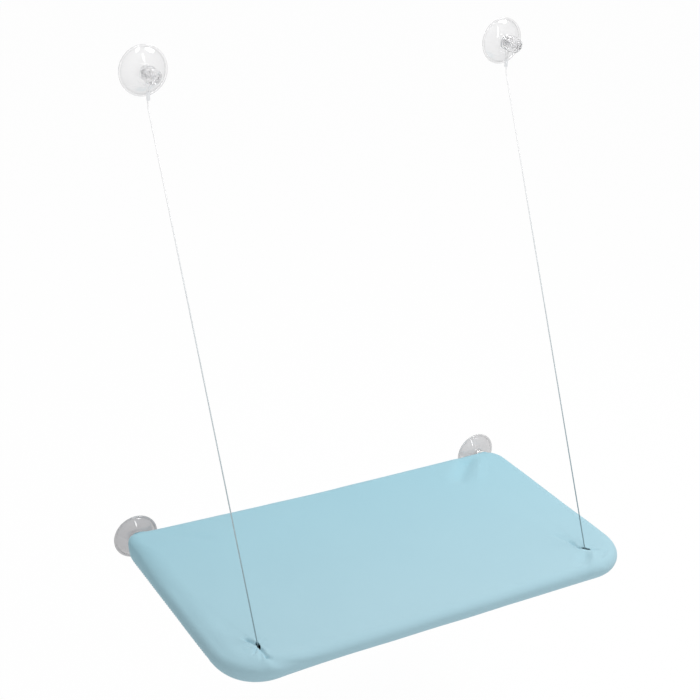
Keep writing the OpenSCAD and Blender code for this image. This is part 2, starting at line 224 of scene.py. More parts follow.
# %% The wear group
wear, inp, out = effect_group(
    "fine_wear",
    [("Vector", "NodeSocketVector", None), ("Scale", "NodeSocketFloat", 400.0),
     ("Smooth", "NodeSocketFloat", 0.2), ("Rough", "NodeSocketFloat", 0.4)],
    [("Roughness", "NodeSocketFloat"), ("Height", "NodeSocketFloat")],
)
grain = wear.nodes.new("ShaderNodeTexNoise")
set_inputs(grain, Detail=3)
wear.links.new(inp.outputs["Vector"], grain.inputs["Vector"])
wear.links.new(inp.outputs["Scale"], grain.inputs["Scale"])
spread = wear.nodes.new("ShaderNodeMapRange")
wear.links.new(grain.outputs["Fac"], spread.inputs["Value"])
set_inputs(spread, From_Min=0.3, From_Max=0.7)
wear.links.new(inp.outputs["Smooth"], spread.inputs["To Min"])
wear.links.new(inp.outputs["Rough"], spread.inputs["To Max"])
wear.links.new(spread.outputs["Result"], out.inputs["Roughness"])
wear.links.new(grain.outputs["Fac"], out.inputs["Height"])
print("group", wear.name, "has", len(wear.nodes), "nodes")

# %% The weave group
weave, inp, out = effect_group(
    "weave",
    [("Vector", "NodeSocketVector", None), ("Threads per metre", "NodeSocketFloat", 1400.0)],
    [("Height", "NodeSocketFloat"), ("Gaps", "NodeSocketFloat")],
)
grid = weave.nodes.new("ShaderNodeVectorMath")
grid.operation = "SCALE"
weave.links.new(inp.outputs["Vector"], grid.inputs[0])
weave.links.new(inp.outputs["Threads per metre"], grid.inputs["Scale"])
axes = weave.nodes.new("ShaderNodeSeparateXYZ")
weave.links.new(grid.outputs[0], axes.inputs[0])
warp = math_node(weave, "SINE", math_node(weave, "MULTIPLY", axes.outputs["X"], math.pi))
weft = math_node(weave, "SINE", math_node(weave, "MULTIPLY", axes.outputs["Y"], math.pi))
over_under = math_node(weave, "MULTIPLY", warp, weft)
height = math_node(weave, "ABSOLUTE", over_under)
weave.links.new(height, out.inputs["Height"])
gaps = math_node(weave, "SUBTRACT", 1.0, math_node(weave, "POWER", height, 0.35))
weave.links.new(gaps, out.inputs["Gaps"])
print("group", weave.name, "has", len(weave.nodes), "nodes")

# %% [markdown]
# ## Finishes
# Each finish is one material round a Principled BSDF. What is the same all over, such as how metallic it is,
# is set on the shader itself, and only what changes over the surface comes through nodes.

# %% Helpers for materials


def new_finish(name):
    """Starts a material. Returns it, its node tree, its shader and its Object coordinates."""
    material = bpy.data.materials.new(name)
    material.use_nodes = True
    tree = material.node_tree
    shader = tree.nodes["Principled BSDF"]
    coords = tree.nodes.new("ShaderNodeTexCoord").outputs["Object"]
    return material, tree, shader, coords


def place_group(tree, group, vector, **values):
    """Puts a shared effect into a material, with its own values."""
    node = tree.nodes.new("ShaderNodeGroup")
    node.node_tree = group
    tree.links.new(vector, node.inputs["Vector"])
    set_inputs(node, **values)
    return node


def mottled(tree, coords, light, dark, scale):
    """A colour that drifts between light and dark."""
    node = place_group(tree, mottle, coords, Light=(*light, 1), Dark=(*dark, 1), Scale=scale)
    return node.outputs["Color"]


def share_along(tree, coords, way, start, end):
    """Goes from 0 to 1 as the place along a direction goes from start to end."""
    place = tree.nodes.new("ShaderNodeVectorMath")
    place.operation = "DOT_PRODUCT"
    place.inputs[1].default_value = way
    tree.links.new(coords, place.inputs[0])
    node = tree.nodes.new("ShaderNodeMapRange")
    set_inputs(node, From_Min=start, From_Max=end)
    tree.links.new(place.outputs["Value"], node.inputs["Value"])
    return node.outputs["Result"]


def multiply_colour(tree, share, colour, by):
    """Multiplies a colour by another one, as far as the share says."""
    node = tree.nodes.new("ShaderNodeMix")
    node.data_type = "RGBA"
    node.blend_type = "MULTIPLY"
    set_inputs(node, B=(*by, 1))
    tree.links.new(share, node.inputs["Factor"])
    tree.links.new(colour, node.inputs["A"])
    return node.outputs["Result"]


def add_bump(tree, shader, height, strength, distance):
    """Sends a height into the shader's normal."""
    bump = tree.nodes.new("ShaderNodeBump")
    set_inputs(bump, Strength=strength, Distance=distance)
    tree.links.new(height, bump.inputs["Height"])
    tree.links.new(bump.outputs["Normal"], shader.inputs["Normal"])


def hard_finish(name, light, dark, smooth, rough, metallic=0.0, colour_scale=60.0, bump=0.15):
    """A metal or moulded plastic: mottled colour, worn gloss and a little grain."""
    material, tree, shader, coords = new_finish(name)
    worn = place_group(tree, wear, coords, Scale=900.0, Smooth=smooth, Rough=rough)
    tree.links.new(mottled(tree, coords, light, dark, colour_scale), shader.inputs["Base Color"])
    tree.links.new(worn.outputs["Roughness"], shader.inputs["Roughness"])
    set_inputs(shader, Metallic=metallic)
    add_bump(tree, shader, worn.outputs["Height"], bump, 0.0001)
    return material


# %% Metals and moulded plastics
METALS = {
    "zinc_stud": ((0.80, 0.81, 0.82), (0.68, 0.69, 0.71), 0.18, 0.34),
    "zinc_washer": ((0.74, 0.75, 0.76), (0.60, 0.61, 0.62), 0.2, 0.4),
    "zinc_screw": ((0.68, 0.69, 0.71), (0.54, 0.55, 0.57), 0.2, 0.38),
    "cast_zinc_zip": ((0.66, 0.67, 0.69), (0.5, 0.51, 0.53), 0.25, 0.45),
    "pressed_aluminium": ((0.86, 0.87, 0.88), (0.72, 0.73, 0.75), 0.22, 0.42),
    "turned_brass": ((0.80, 0.62, 0.30), (0.62, 0.46, 0.20), 0.2, 0.4),
}
metals = {name: hard_finish(name, *look, metallic=1.0) for name, look in METALS.items()}
tube_finish = hard_finish("white_tube", (0.84, 0.84, 0.82), (0.78, 0.78, 0.755), 0.34, 0.5, colour_scale=25)
corner_finish = hard_finish(
    "white_moulding", (0.80, 0.80, 0.78), (0.73, 0.73, 0.71), 0.4, 0.6, colour_scale=30, bump=0.3
)
print("metals:", list(metals))

# %% [markdown]
# The cups are clear soft PVC and the knobs a harder plastic, paler and a little frosted. Light passes
# through several walls on its way, and each wall takes a little of it, most where it is seen edge on. The
# colour is also painted darker towards the edges with a Layer Weight node, as painted shade for the dark
# surroundings that real rims show, and this draws the rims and hubs as darker lines.
# The cups low down are painted greyer than those above, which are left nearly white. This grey is painted
# shade. How far up and to the right a place is gives its share of it.

# %% Clear plastics
# How far up and to the right a place is sets the share of painted shade on the clear plastics.
CLEAR_WAY = (0.55, 0, 1.15)
CLEAR_FROM = 0.58
GREY_FROM = -0.15


def clear_finish(name, light, dark, edge, rough, clearness, low_shade, ior):
    """A clear moulding: tinted transmission, painted shade at the edges and low down, a hazy gloss and soft
    waves.
    """
    material, tree, shader, coords = new_finish(name)
    worn = place_group(tree, wear, coords, Scale=140.0, Smooth=rough[0], Rough=rough[1])
    # Painted shade: the clear plastic is painted greyer low down and to the left.
    low = share_along(tree, coords, CLEAR_WAY, CLEAR_FROM, GREY_FROM)
    shaded_low = multiply_colour(tree, low, mottled(tree, coords, light, dark, 55.0), low_shade)
    # Painted shade: the colour is painted darker where the surface is seen edge on.
    facing = tree.nodes.new("ShaderNodeLayerWeight")
    set_inputs(facing, Blend=0.22)
    rim = multiply_colour(tree, facing.outputs["Facing"], shaded_low, edge)
    tree.links.new(rim, shader.inputs["Base Color"])
    tree.links.new(worn.outputs["Roughness"], shader.inputs["Roughness"])
    set_inputs(shader, Transmission_Weight=clearness, IOR=ior, Coat_Weight=1.0, Coat_Roughness=0.03)
    add_bump(tree, shader, worn.outputs["Height"], 0.1, 0.0004)
    return material


cup_finish = clear_finish(
    "clear_soft_pvc", light=(0.995, 0.99, 0.995), dark=(0.945, 0.945, 0.95), edge=(0.1, 0.1, 0.11),
    rough=(0.02, 0.08), clearness=0.9, low_shade=(0.52, 0.52, 0.53), ior=1.45,
)
knob_finish = clear_finish(
    "clear_hard_plastic", light=(1.0, 1.0, 1.0), dark=(0.98, 0.975, 0.985), edge=(0.92, 0.91, 0.93),
    rough=(0.16, 0.3), clearness=0.84, low_shade=(0.9, 0.9, 0.92), ior=1.33,
)
print("clear finishes:", cup_finish.name, knob_finish.name)

# %% [markdown]
# ## The suction cups
# A cup is a body of revolution: a thin rim that lies flat on the glass, a dome, a ring where the dome meets
# the hub, and the hub that holds the stud. An outline spun round the cup's axis makes it in one step. On the
# real perch the lower cups bend when the deck is lifted. Here the upper cups ride on the window side, and
# the lower ones ride on no body, with their place baked into their mesh.

# %% Spin the cups


def curve(start, handle, end, steps):
    """Points on a smooth bend from start to end, pulled towards the handle."""
    points = []
    for i in range(steps + 1):
        t = i / steps
        a, b, c = (1 - t) ** 2, 2 * t * (1 - t), t * t
        points.append(tuple(a * s + b * h + c * e for s, h, e in zip(start, handle, end)))
    return points


HOLLOW = curve((0, 5.4), (19, 6.2), (28.2, 0.02), 12)
LIP = curve((28.8, 0.02), (30, 0.02), (30, 0.9), 3) + curve((30, 1.3), (29.95, 2.0), (29.1, 2.0), 3)
GROOVE = curve((28.3, 2.0), (27.6, 1.95), (27.4, 1.4), 3) + [(27.0, 1.3)]
DOME = curve((26.7, 1.9), (21.5, 8.4), (13.5, 10.45), 14)
RING = curve((13.2, 10.7), (12.9, 11.1), (12.2, 11.1), 2) + curve((10.4, 11.15), (9, 11.3), (9, 12.4), 4)
NECK = [(8.7, 12.75), (8.7, 13.05)] + curve((9, 13.3), (9, 14), (8.4, 14), 3) + [(4, 14), (0, 14)]
CUP_OUTLINE = HOLLOW + LIP + GROOVE + DOME + RING + NECK


def suction_cup(side, level):
    """Spins a cup, turns it to face the room and puts it on its solid's axis."""
    name = f"{side}_{level}_cup"
    place = middle(name)
    bm = lathe([(r * MM, h * MM) for r, h in CUP_OUTLINE])
    quarter_turn(bm, "X")
    bmesh.ops.translate(bm, verts=bm.verts, vec=(place.x, 0, place.z))
    body = "window_side" if level == "upper" else None
    cup = finish_piece(f"{name}_clear", bm, cup_finish, body)
    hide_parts(name)
    if level == "lower":
        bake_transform(cup)
    return cup


cups = [suction_cup(side, level) for side in SIDES for level in ("upper", "lower")]
print("cups:", [c.name for c in cups], "with", len(cups[0].data.polygons), "faces each")

# %% [markdown]
# ## The cables
# Each cable is one length of stranded wire. It makes an eye round the upper stud, both ends run side by side
# through a crimped sleeve, and the long end bends and goes straight down through the deck to a crimped stop.
# The route's points are the ones that the solids follow. A twisted tube is made straight, by spinning a ring
# of six lobes with a rise, as a screw thread is, and then each of its points is carried onto the route. The
# steel is bright near the upper cup, and low down its colour is painted darker and bluer, as painted shade
# and a painted reflection of the blue deck.

# %% Work out the route
WIRE_R = 0.75 * MM
STRAND_X = 0.8 * MM
LOOP_R = 3.75 * MM
EYE_DROP = 21 * MM
FERRULE_L = 10 * MM
BEND_R = 25 * MM
PAD = Vector((238 * MM, -302 * MM, 0))
BELOW_PAD = 14.2 * MM
EYE_STEPS = 24
BEND_STEPS = 12
stud = Vector((0.249, -15.05 * MM, 0.612))


def cable_route():
    """The right cable's centreline, from its short end round the eye to the tail below the deck."""
    lower = Vector((STRAND_X, 0, -EYE_DROP))
    turn = math.atan2(-EYE_DROP, STRAND_X) + math.acos(LOOP_R / lower.length)
    eye = [Vector((LOOP_R * math.cos(a), 0, LOOP_R * math.sin(a))) for a in
           [math.pi - turn - i * (math.pi - 2 * turn) / EYE_STEPS for i in range(EYE_STEPS + 1)]]
    points = [Vector((-STRAND_X, 0, -EYE_DROP - FERRULE_L)), Vector((-STRAND_X, 0, -EYE_DROP))]
    points += eye + [lower, Vector((STRAND_X, 0, -EYE_DROP - FERRULE_L))]
    points = [p + stud for p in points]
    leave = points[-1]
    away = Vector((PAD.x - leave.x, PAD.y - leave.y, 0))
    reach, drop = away.length, leave.z
    away.normalize()
    run = math.sqrt((reach - BEND_R) ** 2 + drop ** 2 - BEND_R ** 2)
    lean = math.atan2(reach - BEND_R, drop) + math.atan2(BEND_R, run)
    for i in range(1, BEND_STEPS + 1):
        a = lean * i / BEND_STEPS
        points.append(leave + away * (BEND_R * (1 - math.cos(a))) - UP * (BEND_R * math.sin(a)))
    down = away * math.sin(lean) - UP * math.cos(lean)
    points += [points[-1] + down * (run * i / BEND_STEPS) for i in range(1, BEND_STEPS + 1)]
    points.append(points[-1] + down * BELOW_PAD)
    return points


route = cable_route()

# %% Twist the strands and lay them on the route
RING_STEP = 0.8 * MM
TWIST_LENGTH = 9 * MM
GROOVE_SHARE = 0.84
cable_finish, tree, shader, coords = new_finish("stranded_steel")
steel = mottled(tree, coords, (0.92, 0.92, 0.92), (0.74, 0.74, 0.75), 500.0)
# Painted shade and reflection: the steel is painted darker and bluer low down, near the deck.
low = share_along(tree, coords, (0, 0, 1), 0.5, 0.05)
shaded_low_steel = multiply_colour(tree, low, steel, (0.27, 0.38, 0.42))
tree.links.new(shaded_low_steel, shader.inputs["Base Color"])
set_inputs(shader, Metallic=1.0, Roughness=0.38)


def along(points, distances, s):
    """The place and direction at a distance along a route."""
    i = 0
    while i < len(points) - 2 and distances[i + 1] < s:
        i += 1
    a, b = points[i], points[i + 1]
    return a.lerp(b, (s - distances[i]) / (distances[i + 1] - distances[i])), (b - a).normalized()


def stranded_wire(name, points, material, body):
    """Spins a grooved ring into a straight twisted wire and carries its points onto the route."""
    distances = [0.0]
    for a, b in zip(points, points[1:]):
        distances.append(distances[-1] + (b - a).length)
    length = distances[-1]
    steps = int(length / RING_STEP)
    bm = bmesh.new()
    ring = bmesh.ops.create_circle(bm, segments=18, radius=WIRE_R)["verts"]
    for i, vert in enumerate(ring):
        if i % 3 == 0:
            vert.co *= GROOVE_SHARE
    bmesh.ops.spin(
        bm, geom=list(bm.verts) + list(bm.edges), cent=(0, 0, 0), dvec=(0, 0, length / steps),
        axis=(0, 0, 1), angle=math.tau * length / TWIST_LENGTH, steps=steps, use_merge=False,
    )
    frames = []
    across = Vector((0, 1, 0))
    for i in range(steps + 1):
        place, ahead = along(points, distances, min(i * length / steps, length - 1e-7))
        across = (across - ahead * across.dot(ahead)).normalized()
        frames.append((place, across.copy(), ahead.cross(across)))
    for vert in bm.verts:
        place, across, up = frames[round(vert.co.z * steps / length)]
        vert.co = place + across * vert.co.x + up * vert.co.y
    bmesh.ops.holes_fill(bm, edges=[e for e in bm.edges if e.is_boundary], sides=0)
    return finish_piece(name, bm, material, body)


for side, sign in SIDES.items():
    points = [Vector((p.x * sign, p.y, p.z)) for p in route]
    wire = stranded_wire(f"{side}_stranded_cable", points, cable_finish, f"{side}_hanger")
    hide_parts(f"{side}_cable")
    print(wire.name, "has", len(wire.data.polygons), "faces")

# %% [markdown]
# ## The cloth
# The sleeve is a light blue stretched cloth. It is smooth from a step away, with a fine weave up close and a
# little fuzz. Its colour is painted a little bluer near the window and greyer at the front edge, as painted
# light.
# The weave follows the cloth's own flat pattern, kept in a UV map in metres, so that its threads turn with
# the cloth round the tubes.

# %% The cloth finish
cloth_finish, tree, shader, coords = new_finish("light_blue_cloth")
flat_map = tree.nodes.new("ShaderNodeUVMap")
flat_map.uv_map = "flat"
threads = place_group(tree, weave, flat_map.outputs["UV"], Threads_per_metre=1500.0)
dye = mottled(tree, coords, (0.37, 0.62, 0.71), (0.35, 0.595, 0.69), 9.0)
# Painted light: the cloth is painted bluer near the window and greyer towards the front edge.
near_front = share_along(tree, coords, (0, 1, 0), rear_y, front_y)
painted_front_tint = multiply_colour(tree, near_front, dye, (1.14, 1.02, 1.0))
woven = multiply_colour(tree, threads.outputs["Gaps"], painted_front_tint, (0.86, 0.89, 0.9))
tree.links.new(woven, shader.inputs["Base Color"])
set_inputs(shader, Roughness=0.74, Specular_IOR_Level=0.25, Sheen_Weight=0.15, Sheen_Roughness=0.5)
add_bump(tree, shader, threads.outputs["Height"], 0.35, 0.0002)
print("cloth finish:", len(tree.nodes), "nodes")

# %% [markdown]
# The sleeve wraps the frame like a pillowcase drawn tight. It could be a flat grid with its edges pushed
# round the tubes, but then the grid's lines would cross the rounded corners at odd angles. Here one ring of
# edges follows the frame, and it is extruded again and again: outwards and down over the tubes, and inwards
# across the top and the bottom. So the lines run with the cloth wherever it turns.

# %% The line that the sleeve follows
GAP = 4.5 * MM
REAR_BEND_STEPS = 9
FRONT_BEND_STEPS = 20


def stations(limit):
    """Even places from -limit to limit, with both ends."""
    count = int(limit / GAP - 0.4)
    return [-limit] + [k * GAP for k in range(-count, count + 1)] + [limit]


def frame_line():
    """Places on the tubes' centreline and the directions outward from them, all the way round."""
    line = []

    def bend(x, y, radius, start, steps):
        for i in range(1, steps):
            a = math.radians(start + 90 * i / steps)
            out = Vector((math.cos(a), math.sin(a), 0))
            line.append((Vector((x, y, 0)) + radius * out, out))

    back, front = side_x - REAR_BEND, side_x - FRONT_BEND
    top, low = rear_y - REAR_BEND, front_y + FRONT_BEND
    sides = [(top + low) / 2 + v for v in stations((top - low) / 2)]
    line += [(Vector((x, rear_y, 0)), Vector((0, 1, 0))) for x in reversed(stations(back))]
    bend(-back, top, REAR_BEND, 90, REAR_BEND_STEPS)
    line += [(Vector((-side_x, y, 0)), Vector((-1, 0, 0))) for y in reversed(sides)]
    bend(-front, low, FRONT_BEND, 180, FRONT_BEND_STEPS)
    line += [(Vector((x, front_y, 0)), Vector((0, -1, 0))) for x in stations(front)]
    bend(front, low, FRONT_BEND, 270, FRONT_BEND_STEPS)
    line += [(Vector((side_x, y, 0)), Vector((1, 0, 0))) for y in sides]
    bend(back, top, REAR_BEND, 0, REAR_BEND_STEPS)
    return line


line = frame_line()
mid_y = (rear_y + front_y) / 2
half_d = (rear_y - front_y) / 2
print("places round the frame:", len(line))

# %% [markdown]
# Across a tube the cloth doesn't lie in a perfect half circle. It leaves the top in a wider curve, widest
# along the loose left side, and hugs the tube below. So the upper half of the roll is a rounded box curve, a
# superellipse, which eases into a plain ellipse at the left. The lower half is round.

# %% The roll across a tube
UPPER_STEPS = 13
LOWER_STEPS = 12
ROLL_POWER = 0.84


def smooth_step(value):
    value = min(max(value, 0.0), 1.0)
    return value * value * (3 - 2 * value)


def slackness(out):
    """One along the left side, where the cloth is looser, and nothing on the other sides."""
    return min(out.x, 0) ** 2


def inboard(out, y):
    """How far inside the tube's centreline the cloth starts to curve down."""
    along_y = 5 if y < mid_y else 2.5
    left = 16 - 11 * smooth_step((y - rear_y) / MM / 43 + 1.4)
    corner = 40 * max(out.x, 0) ** 2 * min(out.y, 0) ** 2
    return (4 * max(out.x, 0) ** 2 + left * slackness(out) + along_y * out.y ** 2 + corner) * MM


def top_height(x, y):
    """The height of the top sheet: a rise beside the loose left edge, and a sag in the middle."""
    across = (side_x - abs(x)) / MM - (16 if x < 0 else 4)
    along_y = (min(y - front_y, rear_y - y) - 3 * MM) / MM
    loose = smooth_step((0.1 - x) / 0.3)
    rise = 2.4 * loose * smooth_step(along_y / 34)
    sag = (0.8 + 2.2 * loose) * smooth_step(across / 150) * smooth_step(along_y / 140)
    return roll_r + (0.2 + rise - sag) * MM


def roll_section(at, out):
    """The curve over one tube, as (outward, up) steps, and the length of cloth used at each of them."""
    start = inboard(out, at.y)
    high = top_height(*(at - out * start).xy)
    power = ROLL_POWER + (1 - ROLL_POWER) * slackness(out)
    steps = []
    for i in range(UPPER_STEPS + 1):
        a = math.radians(90 * i / UPPER_STEPS)
        steps.append((-start + (start + roll_r) * math.sin(a) ** power, high * abs(math.cos(a)) ** power))
    for i in range(1, LOWER_STEPS + 1):
        a = math.radians(90 + 90 * i / LOWER_STEPS)
        steps.append((roll_r * math.sin(a), roll_r * math.cos(a)))
    used = [-start]
    for (w0, z0), (w1, z1) in zip(steps, steps[1:]):
        used.append(used[-1] + math.hypot(w1 - w0, z1 - z0))
    return steps, used


sections = [roll_section(at, out) for at, out in line]
print("cloth used over a side tube:", round(max(used[-1] for _, used in sections), 4), "m")

# %% [markdown]
# The flat sheets are made in the same way, from rings that shrink towards the middle of the deck. The top
# has its height from the function above, and the bottom hangs a little, but not beside the zip.

# %% Rings of cloth
SHEET_RINGS = 24
RING_POWER = 1.5


def bottom_height(x, y):
    """The height of the bottom sheet: it hangs a little, and stays flat beside the zip."""
    across = (side_x - abs(x)) / MM
    along_y = smooth_step((-88 - y / MM) / 70) * smooth_step((y / MM + 318) / 60)
    return -roll_r - 1.5 * MM * smooth_step((across - 20) / 120) * along_y


def towards_core(index, share, start):
    """A place on the way from the roll to the middle of the sheet."""
    at, out = line[index]
    edge = at - out * start
    core = Vector((min(max(at.x, half_d - side_x), side_x - half_d), mid_y, 0))
    return edge.lerp(core, share)


def next_ring(bm, edges, place):
    """Extrudes a ring of edges and puts each new corner at the place for its station."""
    made = bmesh.ops.extrude_edge_only(bm, edges=edges)["geom"]
    station = bm.verts.layers.int["station"]
    for vert in (g for g in made if isinstance(g, bmesh.types.BMVert)):
        vert.co, spread = place(vert[station])
        vert[bm.verts.layers.float_vector["spread"]] = spread
    return [g for g in made if isinstance(g, bmesh.types.BMEdge) and g.is_boundary]


def roll_place(ring):
    """A function that gives a station's place on the roll and in the flat pattern."""

    def place(index):
        at, out = line[index]
        steps, used = sections[index]
        reach, up = steps[ring]
        return at + out * reach + UP * up, at + out * used[ring]

    return place


def sheet_place(share, height, top):
    """The same for a flat sheet. The top one starts inboard of the tubes, the bottom one below them."""

    def place(index):
        at, out = line[index]
        spot = towards_core(index, share, inboard(out, at.y) if top else 0)
        return Vector((spot.x, spot.y, height(spot.x, spot.y))), spot

    return place


def close_middle(bm, edges):
    """Joins the last ring of a sheet to itself."""
    verts = list(dict.fromkeys(v for e in edges for v in e.verts))
    bmesh.ops.remove_doubles(bm, verts=verts, dist=0.02 * MM)


bm = bmesh.new()
bm.verts.layers.int.new("station")
bm.verts.layers.float_vector.new("spread")
first = bmesh.ops.create_circle(bm, segments=len(line), radius=1)["verts"]
for index, vert in enumerate(first):
    vert[bm.verts.layers.int["station"]] = index
    vert.co, vert[bm.verts.layers.float_vector["spread"]] = roll_place(0)(index)
first_ring = list(bm.edges)
ring = first_ring
for step in range(1, UPPER_STEPS + LOWER_STEPS + 1):
    ring = next_ring(bm, ring, roll_place(step))
shares = [(step / SHEET_RINGS) ** RING_POWER for step in range(1, SHEET_RINGS + 1)]
for share in shares:
    ring = next_ring(bm, ring, sheet_place(share, bottom_height, False))
close_middle(bm, ring)
ring = first_ring
for share in shares:
    ring = next_ring(bm, ring, sheet_place(share, top_height, True))
close_middle(bm, ring)
bmesh.ops.recalc_face_normals(bm, faces=bm.faces)
print("sleeve:", len(bm.faces), "faces, open edges:", sum(e.is_boundary for e in bm.edges))

# %% [markdown]
# The cloth has real openings: a slit over each front corner for the cable, a round hole below it for the
# stop, a hole round each rear boss for the cup, and the slot of the zip. For a round or oval opening the
# mesh is first made finer there. Then the faces inside the oval go, and the edge that is left is pulled onto
# it.

# %% Cut the openings
STOP_Y = -307.1 * MM
BOSS_X = middle("right_lower_cup").x
SLIT_HALF = (2.3 * MM, 6.1 * MM)
STOP_HALF = (9 * MM, 9 * MM)
BOSS_HALF = (9.5 * MM, 9.5 * MM)


def make_finer(bm, near, reaches):
    """Subdivides the mesh round a place, once for each reach."""
    for reach in reaches:
        edges = [e for e in bm.edges if all(near(v.co) < reach for v in e.verts)]
        bmesh.ops.subdivide_edges(bm, edges=edges, cuts=1, use_grid_fill=True)


def open_up(bm, near, centre, half, lip, axes, turn=0.0):
    """Cuts an oval opening, turned by an angle, and folds its edge in by the vector lip."""
    u, v = axes
    c, s = math.cos(turn), math.sin(turn)

    def off(co):
        du, dv = co[u] - centre[u], co[v] - centre[v]
        return du * c + dv * s, dv * c - du * s

    def share(co):
        return math.hypot(off(co)[0] / half[0], off(co)[1] / half[1])

    def grow(co, by):
        co[u] = centre[u] + (co[u] - centre[u]) * by
        co[v] = centre[v] + (co[v] - centre[v]) * by

    def at_opening(co):
        return near(co) < 1.6 * max(half)

    middles = [(f, f.calc_center_median()) for f in bm.faces]
    inside = [f for f, spot in middles if at_opening(spot) and share(spot) < 1]
    bmesh.ops.delete(bm, geom=inside, context="FACES")
    edge = [e for e in bm.edges if e.is_boundary and all(at_opening(w.co) for w in e.verts)]
    for vert in {w for e in edge for w in e.verts}:
        grow(vert.co, 1 / share(vert.co))
    folded = bmesh.ops.extrude_edge_only(bm, edges=edge)["geom"]
    for vert in (g for g in folded if isinstance(g, bmesh.types.BMVert)):
        vert.co += lip
        grow(vert.co, 1.06)
    return len(edge)


def top_near(x, y):
    return lambda co: math.hypot(co.x - x, co.y - y) if co.z > 0 else 1.0


def bottom_near(x, y):
    return lambda co: math.hypot(co.x - x, co.y - y) if co.z < -roll_r * 0.8 else 1.0


def rear_near(x):
    return lambda co: math.hypot(co.x - x, co.z) if co.y > rear_y + 2 * MM else 1.0


# Where each slit is, in millimetres, and its turn. The cable has to pass it with the deck down and lifted.
SLITS = {"left": (-238.8, -298.5, -0.1), "right": (238.9, -297.6, 0.72)}
for side, sign in SIDES.items():
    slit_x, slit_y, slit_turn = SLITS[side]
    slit = Vector((slit_x * MM, slit_y * MM, roll_r))
    make_finer(bm, top_near(slit.x, slit.y), (30 * MM, 20 * MM, 9 * MM))
    slit_lip = Vector((0, 0, -2.2 * MM))
    edge = open_up(bm, top_near(slit.x, slit.y), slit, SLIT_HALF, slit_lip, (0, 1), slit_turn)
    stop = Vector((sign * PAD.x, STOP_Y, -roll_r))
    make_finer(bm, bottom_near(stop.x, stop.y), (17 * MM, 13 * MM))
    open_up(bm, bottom_near(stop.x, stop.y), stop, STOP_HALF, Vector((0, 0, 1.4 * MM)), (0, 1))
    boss = Vector((sign * BOSS_X, rear_y, 0))
    make_finer(bm, rear_near(boss.x), (14 * MM, 12.5 * MM))
    open_up(bm, rear_near(boss.x), boss, BOSS_HALF, Vector((0, -1.2 * MM, 0)), (0, 2))
    print("edges round a slit:", edge)

# %% Cut the slot of the zip
ZIP_Y = middle("zip_chain").y
SLOT_X = 230 * MM
SLOT_HALF = 2.5 * MM
FLAT_BELOW = -roll_r + 0.3 * MM


def lies_below(face):
    return all(v.co.z < FLAT_BELOW for v in face.verts)


for place, way in (
    ((0, ZIP_Y - SLOT_HALF, 0), (0, 1, 0)), ((0, ZIP_Y + SLOT_HALF, 0), (0, 1, 0)),
    ((-SLOT_X, 0, 0), (1, 0, 0)), ((SLOT_X, 0, 0), (1, 0, 0)),
):
    low = [f for f in bm.faces if lies_below(f) and abs(f.calc_center_median().y - ZIP_Y) < 30 * MM]
    geom = list(dict.fromkeys(g for f in low for g in [f, *f.edges, *f.verts]))
    bmesh.ops.bisect_plane(bm, geom=geom, plane_co=place, plane_no=way, dist=0.01 * MM)
slot = [
    f for f, spot in [(f, f.calc_center_median()) for f in bm.faces]
    if spot.z < FLAT_BELOW and abs(spot.x) < SLOT_X and abs(spot.y - ZIP_Y) < SLOT_HALF
]
bmesh.ops.delete(bm, geom=slot, context="FACES")
print("faces cut for the zip:", len(slot))

# %% [markdown]
# Drawn cloth is never quite smooth. It puckers where a slit gathers it, creases run from the slits towards
# the corners, and it dents over the rear corner where the pull changes direction. Each of these is a small
# height over the cloth's flat pattern, in millimetres, so a crease can run from the top down over a tube.

# %% Folds and puckers


def fold(x, y, a, b, width, depth):
    """A soft fold from a to b that fades past both ends."""
    length2 = (b[0] - a[0]) ** 2 + (b[1] - a[1]) ** 2
    t = ((x - a[0]) * (b[0] - a[0]) + (y - a[1]) * (b[1] - a[1])) / length2
    off = ((x - a[0]) * (b[1] - a[1]) - (y - a[1]) * (b[0] - a[0])) / math.sqrt(length2)
    ends = smooth_step((t + 0.3) / 0.4) * smooth_step((1.35 - t) / 0.5)
    return depth * ends * math.exp(-(off / width) ** 2)


def pucker(x, y, at, reach, depth, turn):
    """Short creases that run out from a slit like rays."""
    r = math.hypot(x - at[0], y - at[1])
    a = math.atan2(y - at[1], x - at[0])
    ray = math.cos(5 * a + turn) + 0.5 * math.cos(8 * a - 1.7 * turn)
    return depth * ray * (r / 7) * math.exp(-r / reach) - 1.1 * depth * math.exp(-(r / 8) ** 2)


FOLDS = [
    ((-250, -315), (-200, -334), 11.0, 1.4), ((-239, -305), (-240, -322), 1.9, -2.6),
    ((-240, -321), (-234, -334), 2.4, -2.6), ((-234, -333), (-214, -342), 3.0, -2.4),
    ((-216, -341), (-176, -347), 4.0, -1.2), ((-247, -322), (-240, -338), 4.0, 1.2),
    ((-241, -308), (-248, -325), 1.8, -1.7), ((-241, -295), (-246, -284), 2.0, -2.8),
    ((-243, -289), (-249, -279), 2.4, -1.8), ((-242, -301), (-250, -310), 1.7, -1.7),
    ((-244, -301), (-256, -299), 2.0, 0.8), ((232, -293), (231, -276), 2.2, -2.6),
    ((232, -280), (226, -257), 3.4, -2.6), ((243, -303), (252, -307), 1.8, -1.1),
    ((241, -292), (246, -276), 1.8, 0.9), ((226, -310), (198, -336), 7.0, -1.8),
    ((239, -313), (217, -342), 5.5, 3.0), ((258, -316), (246, -334), 7.0, -1.2),
    ((231, -33), (190, -74), 9.5, -4.8), ((250, -40), (214, -84), 9.0, 1.8),
    ((214, -28), (176, -60), 9.0, 1.0), ((-236, -44), (-196, -72), 10.0, -1.0),
]


